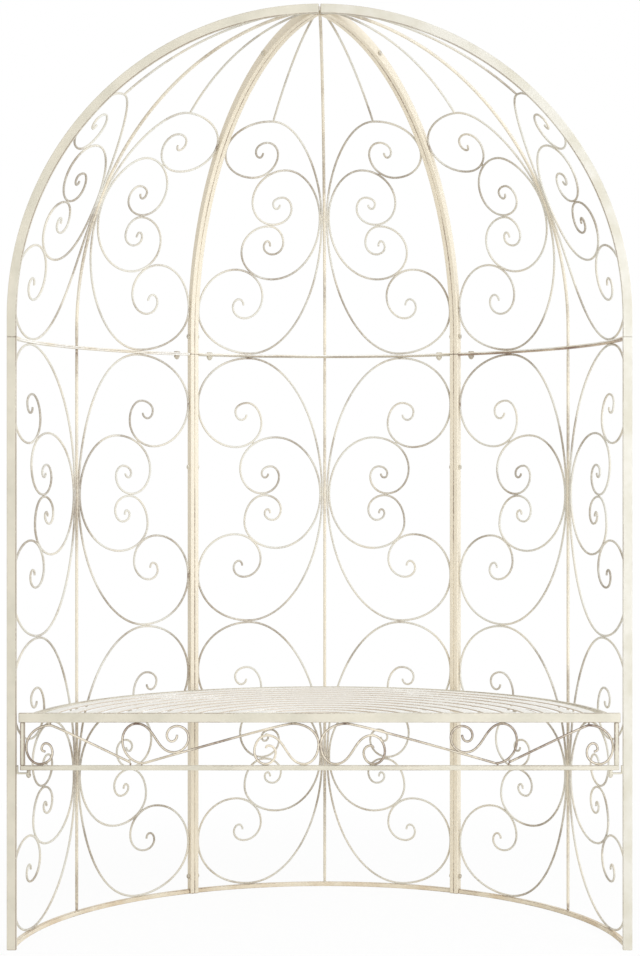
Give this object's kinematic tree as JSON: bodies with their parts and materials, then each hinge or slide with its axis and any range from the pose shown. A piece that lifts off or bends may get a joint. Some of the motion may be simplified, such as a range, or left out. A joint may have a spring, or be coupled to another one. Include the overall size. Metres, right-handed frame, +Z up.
{
  "type": "arbour seat",
  "caption": "Wrought-metal garden arbour: a half-round scrolled back, a half-dome roof and a half-round slatted seat with a scrolled apron.",
  "frame": {"origin": "middle of the bounding box, on the floor", "axes": "+Z up, +Y from the open front to the back, +X to the right of someone looking in through the open front"},
  "size_m": [1.322, 0.6584, 2],
  "materials": {
    "tube": "cream paint with light brown rub-through, satin",
    "rod": "cream paint, thin and brushed, satin",
    "bolt": "cream paint over bolt heads, satin"
  },
  "bodies": {
    "root": {"right_floor_rail": "tube", "right_ring_rail": "tube", "right_centre_bar": "tube", "dome_right_ring_rail": "tube", "dome_right_centre_rib": "tube", "right_front_post": "tube", "dome_right_front_rib": "tube", "right_front_scrolls": "rod", "dome_right_front_scrolls": "rod", "right_rear_post": "tube", "dome_right_rear_rib": "tube", "right_rear_scrolls": "rod", "dome_right_rear_scrolls": "rod", "right_rear_ring_bolt": "bolt", "centre_floor_rail": "tube", "centre_ring_rail": "tube", "centre_centre_bar": "tube", "dome_centre_ring_rail": "tube", "dome_centre_centre_rib": "tube", "centre_right_post": "tube", "dome_centre_right_rib": "tube", "centre_right_scrolls": "rod", "dome_centre_right_scrolls": "rod", "centre_right_ring_bolt": "bolt", "centre_left_post": "tube", "dome_centre_left_rib": "tube", "centre_left_scrolls": "rod", "dome_centre_left_scrolls": "rod", "centre_left_ring_bolt": "bolt", "left_floor_rail": "tube", "left_ring_rail": "tube", "left_centre_bar": "tube", "dome_left_ring_rail": "tube", "dome_left_centre_rib": "tube", "left_rear_post": "tube", "dome_left_rear_rib": "tube", "left_rear_scrolls": "rod", "dome_left_rear_scrolls": "rod", "left_rear_ring_bolt": "bolt", "left_front_post": "tube", "dome_left_front_rib": "tube", "left_front_scrolls": "rod", "dome_left_front_scrolls": "rod", "right_junction_bolt_1": "bolt", "right_junction_bolt_2": "bolt", "right_junction_bolt_3": "bolt", "right_junction_bolt_4": "bolt", "seat_rear_bracket_right": "bolt", "left_junction_bolt_1": "bolt", "left_junction_bolt_2": "bolt", "left_junction_bolt_3": "bolt", "left_junction_bolt_4": "bolt", "seat_rear_bracket_left": "bolt", "seat_front_rail": "tube", "seat_rear_rim": "tube", "seat_slats": "tube", "seat_apron_frame": "tube", "seat_apron_scrolls": "rod", "seat_front_bracket_left": "bolt", "seat_front_bracket_right": "bolt"}
  },
  "joints": []
}
